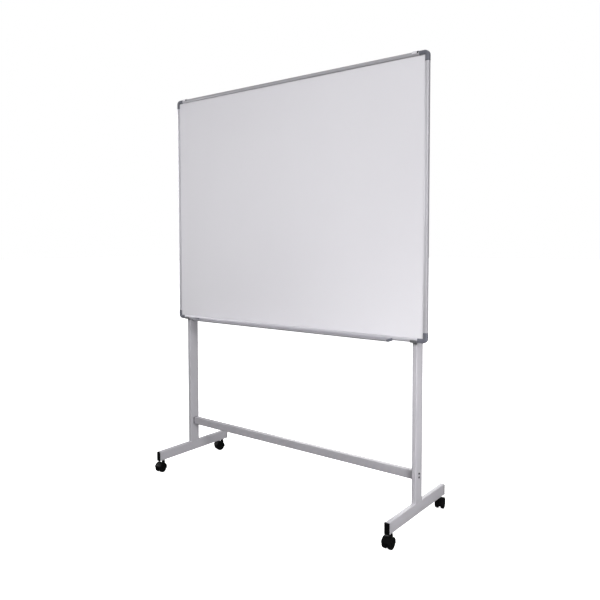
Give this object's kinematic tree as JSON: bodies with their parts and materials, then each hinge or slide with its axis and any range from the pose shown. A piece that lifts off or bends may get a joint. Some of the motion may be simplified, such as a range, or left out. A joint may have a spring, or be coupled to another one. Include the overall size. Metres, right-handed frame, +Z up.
{
  "type": "rolling whiteboard",
  "caption": "Framed dry-erase board with a pen tray, fixed to a steel tube stand with cross feet, a lower crossbar and swivel casters.",
  "frame": {"origin": "on the floor, midway between the two uprights", "axes": "+Z up, +X to the right seen from the writer, -Y towards the writer"},
  "size_m": [1.5012, 0.5506, 2.007],
  "materials": {
    "enamel": "gloss",
    "fibreboard": "matte",
    "galvanised": "satin",
    "anodised_aluminium": "satin",
    "grey_plastic": "satin",
    "grey_paint": "satin",
    "zinc_steel": "satin",
    "black_plastic": "satin",
    "black_steel": "satin",
    "steel": "satin",
    "black_tyre": "matte"
  },
  "bodies": {
    "stand": {"writing_surface": "enamel", "board_core": "fibreboard", "back_panel": "galvanised", "frame_top": "anodised_aluminium", "frame_bottom": "anodised_aluminium", "frame_left": "anodised_aluminium", "frame_right": "anodised_aluminium", "corner_cap_top_left": "grey_plastic", "corner_cap_top_right": "grey_plastic", "corner_cap_bottom_left": "grey_plastic", "corner_cap_bottom_right": "grey_plastic", "pen_tray": "anodised_aluminium", "pen_tray_cap_left": "grey_plastic", "pen_tray_cap_right": "grey_plastic", "upright_left": "grey_paint", "upright_right": "grey_paint", "upright_cap_left": "grey_plastic", "upright_cap_right": "grey_plastic", "foot_left": "grey_paint", "foot_right": "grey_paint", "foot_plug_front_left": "black_plastic", "foot_plug_front_right": "black_plastic", "foot_plug_rear_left": "black_plastic", "foot_plug_rear_right": "black_plastic", "crossbar": "grey_paint", "crossbar_end_left": "zinc_steel", "crossbar_end_right": "zinc_steel", "crossbar_bolt_lower_left": "black_steel", "crossbar_bolt_upper_left": "black_steel", "crossbar_bolt_lower_right": "black_steel", "crossbar_bolt_upper_right": "black_steel", "top_hook_left": "grey_paint", "top_hook_right": "grey_paint", "bottom_clip_left": "zinc_steel", "bottom_clip_right": "zinc_steel", "top_hook_rivet_left": "black_steel", "top_hook_rivet_right": "black_steel", "bottom_clip_rivet_left": "zinc_steel", "bottom_clip_rivet_right": "zinc_steel", "caster_stem_front_right": "black_steel", "caster_stem_rear_right": "black_steel", "caster_stem_front_left": "black_steel", "caster_stem_rear_left": "black_steel"},
    "caster_front_right": {"caster_housing_front_right": "black_plastic", "caster_axle_front_right": "steel"},
    "wheel_a_front_right": {"caster_wheel_a_front_right": "black_tyre"},
    "wheel_b_front_right": {"caster_wheel_b_front_right": "black_tyre"},
    "caster_rear_right": {"caster_housing_rear_right": "black_plastic", "caster_axle_rear_right": "steel"},
    "wheel_a_rear_right": {"caster_wheel_a_rear_right": "black_tyre"},
    "wheel_b_rear_right": {"caster_wheel_b_rear_right": "black_tyre"},
    "caster_front_left": {"caster_housing_front_left": "black_plastic", "caster_axle_front_left": "steel"},
    "wheel_a_front_left": {"caster_wheel_a_front_left": "black_tyre"},
    "wheel_b_front_left": {"caster_wheel_b_front_left": "black_tyre"},
    "caster_rear_left": {"caster_housing_rear_left": "black_plastic", "caster_axle_rear_left": "steel"},
    "wheel_a_rear_left": {"caster_wheel_a_rear_left": "black_tyre"},
    "wheel_b_rear_left": {"caster_wheel_b_rear_left": "black_tyre"}
  },
  "joints": [
    {"name": "swivel_front_right", "type": "hinge", "parent": "stand", "child": "caster_front_right", "pos_m": [0.688, -0.227, 0.057], "axis": [0, 0, 1], "continuous": true},
    {"name": "roll_a_front_right", "type": "hinge", "parent": "caster_front_right", "child": "wheel_a_front_right", "pos_m": [0.688, -0.2465, 0.024], "axis": [1, 0, 0], "continuous": true},
    {"name": "roll_b_front_right", "type": "hinge", "parent": "caster_front_right", "child": "wheel_b_front_right", "pos_m": [0.688, -0.2465, 0.024], "axis": [1, 0, 0], "continuous": true},
    {"name": "swivel_rear_right", "type": "hinge", "parent": "stand", "child": "caster_rear_right", "pos_m": [0.688, 0.227, 0.057], "axis": [0, 0, 1], "continuous": true},
    {"name": "roll_a_rear_right", "type": "hinge", "parent": "caster_rear_right", "child": "wheel_a_rear_right", "pos_m": [0.68395, 0.24607, 0.024], "axis": [-0.9781, -0.2079, 0], "continuous": true},
    {"name": "roll_b_rear_right", "type": "hinge", "parent": "caster_rear_right", "child": "wheel_b_rear_right", "pos_m": [0.68395, 0.24607, 0.024], "axis": [-0.9781, -0.2079, 0], "continuous": true},
    {"name": "swivel_front_left", "type": "hinge", "parent": "stand", "child": "caster_front_left", "pos_m": [-0.688, -0.227, 0.057], "axis": [0, 0, 1], "continuous": true},
    {"name": "roll_a_front_left", "type": "hinge", "parent": "caster_front_left", "child": "wheel_a_front_left", "pos_m": [-0.68596, -0.24639, 0.024], "axis": [0.9945, 0.1045, 0], "continuous": true},
    {"name": "roll_b_front_left", "type": "hinge", "parent": "caster_front_left", "child": "wheel_b_front_left", "pos_m": [-0.68596, -0.24639, 0.024], "axis": [0.9945, 0.1045, 0], "continuous": true},
    {"name": "swivel_rear_left", "type": "hinge", "parent": "stand", "child": "caster_rear_left", "pos_m": [-0.688, 0.227, 0.057], "axis": [0, 0, 1], "continuous": true},
    {"name": "roll_a_rear_left", "type": "hinge", "parent": "caster_rear_left", "child": "wheel_a_rear_left", "pos_m": [-0.69403, 0.20845, 0.024], "axis": [0.9511, -0.309, 0], "continuous": true},
    {"name": "roll_b_rear_left", "type": "hinge", "parent": "caster_rear_left", "child": "wheel_b_rear_left", "pos_m": [-0.69403, 0.20845, 0.024], "axis": [0.9511, -0.309, 0], "continuous": true}
  ]
}
